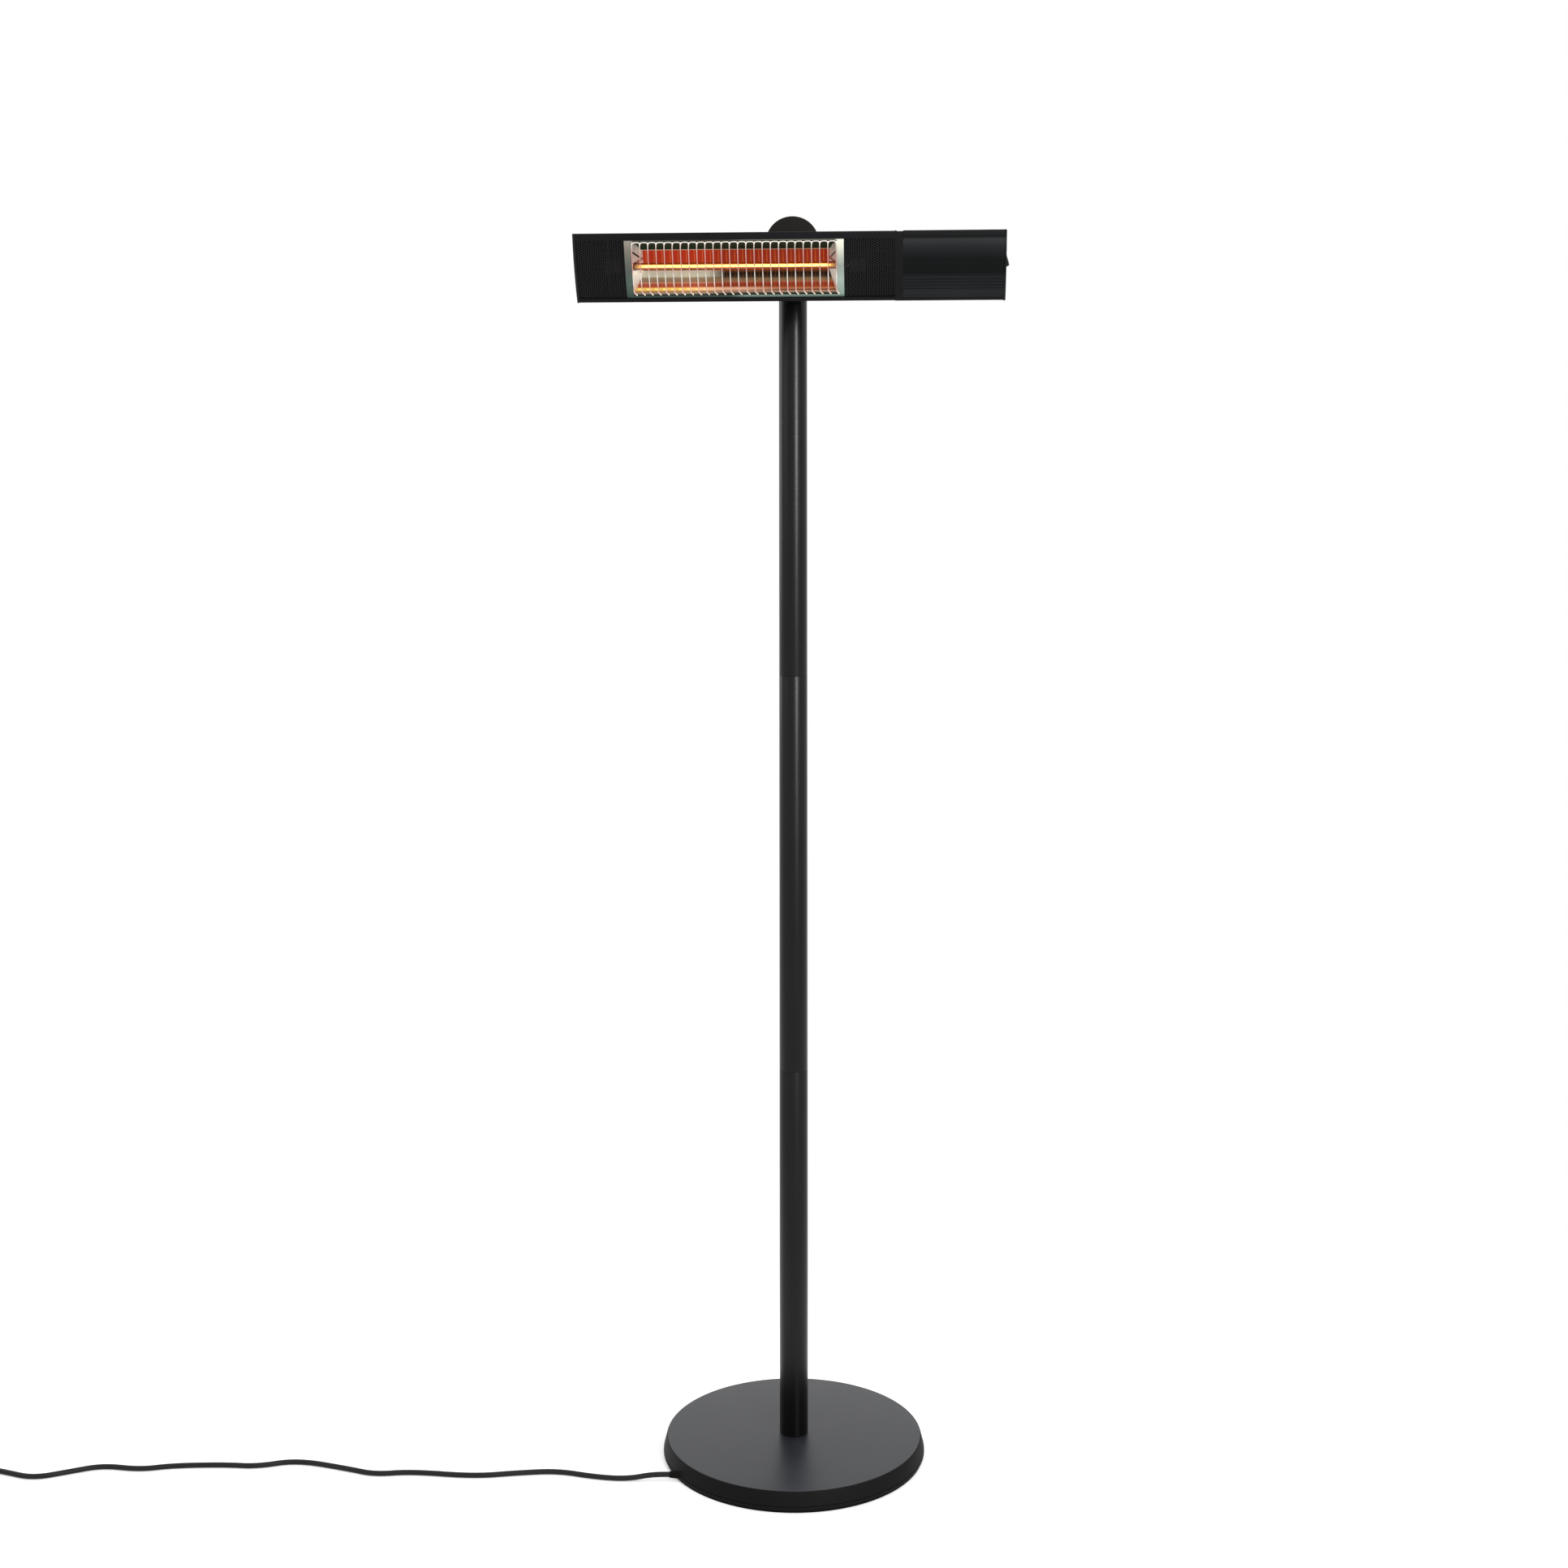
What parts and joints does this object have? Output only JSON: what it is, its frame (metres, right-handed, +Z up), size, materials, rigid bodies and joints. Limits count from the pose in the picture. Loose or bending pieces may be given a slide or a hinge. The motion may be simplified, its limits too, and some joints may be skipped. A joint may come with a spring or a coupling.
{
  "type": "infrared patio heater tower",
  "caption": "Free-standing infrared heater: round weighted base, tall round pole and a long tilting head with a reflector, glowing quartz tube, wire guard and rocker switch.",
  "frame": {"origin": "on the floor under the pole's axis, at the centre of the round base", "axes": "+Z up along the pole, X along the heater head with the switch at +X, the window looks towards -Y and down"},
  "size_m": [1.6026, 0.3952, 1.7504],
  "materials": {
    "powder_coat": "fine satin textured powder coat",
    "black_plastic": "satin moulded plastic",
    "rocker_black": "glossy moulded plastic",
    "black_rubber": "matt rubber",
    "cord_rubber": "matt rubber sheath",
    "chrome_wire": "bright chrome",
    "polished_aluminium": "polished",
    "satin_aluminium": "satin anodised",
    "quartz": "clear heat tinted quartz",
    "hot_filament": "glowing",
    "ceramic_white": "unglazed white",
    "zinc_steel": "zinc plated",
    "black_steel": "black zinc",
    "cast_weight": "raw cast",
    "plated_pin": "nickel plated",
    "wire_silicone": "heat resistant sleeve"
  },
  "bodies": {
    "stand": {"base_cover": "powder_coat", "base_weight": "cast_weight", "base_plate": "black_steel", "foot_ring": "black_rubber", "plate_screws": "zinc_steel", "pole_hub": "zinc_steel", "hub_screws": "zinc_steel", "pole_lower": "powder_coat", "pole_middle": "powder_coat", "pole_upper": "powder_coat", "joint_sleeve_lower": "zinc_steel", "joint_sleeve_upper": "zinc_steel", "top_fitting": "powder_coat", "lead_bush": "black_rubber", "tilt_fork": "powder_coat", "fork_screws": "black_steel", "tilt_bolt": "zinc_steel", "knob_washer": "zinc_steel", "inner_lead": "cord_rubber", "cord_grommet": "black_rubber", "cord_lead": "cord_rubber", "cord_coil": "cord_rubber", "plug_body": "black_rubber", "plug_pins": "plated_pin"},
    "knob": {"tilt_knob": "black_plastic"},
    "head": {"head_housing": "powder_coat", "control_housing": "black_plastic", "control_cover": "black_plastic", "end_cap_left": "black_plastic", "end_cap_right": "black_plastic", "end_cap_screws": "black_steel", "mesh_panel_left": "black_steel", "mesh_panel_right": "black_steel", "window_frame": "satin_aluminium", "reflector": "polished_aluminium", "reflector_end_left": "polished_aluminium", "reflector_end_right": "polished_aluminium", "quartz_tube": "quartz", "filament": "hot_filament", "tube_cap_left": "ceramic_white", "tube_cap_right": "ceramic_white", "tube_bracket_left": "zinc_steel", "tube_bracket_right": "zinc_steel", "wire_guard": "chrome_wire", "tilt_lug": "powder_coat", "lug_screws": "black_steel", "head_gland": "black_plastic", "terminal_block": "black_plastic", "terminal_screws": "zinc_steel", "inner_wires": "wire_silicone", "switch_body": "black_plastic"},
    "rocker": {"switch_rocker": "rocker_black"}
  },
  "joints": [
    {"name": "head_tilt", "type": "hinge", "parent": "stand", "child": "head", "pos_m": [0, -0.0444, 1.7063], "axis": [1, 0, 0], "range_deg": [-27, 18]},
    {"name": "knob_turn", "type": "hinge", "parent": "stand", "child": "knob", "pos_m": [0, -0.0444, 1.7063], "axis": [1, 0, 0], "range_deg": [-180, 0]},
    {"name": "switch_rock", "type": "hinge", "parent": "head", "child": "rocker", "pos_m": [0.29155, -0.0952, 1.68266], "axis": [0, 0.891, 0.454], "range_deg": [0, 18]}
  ]
}
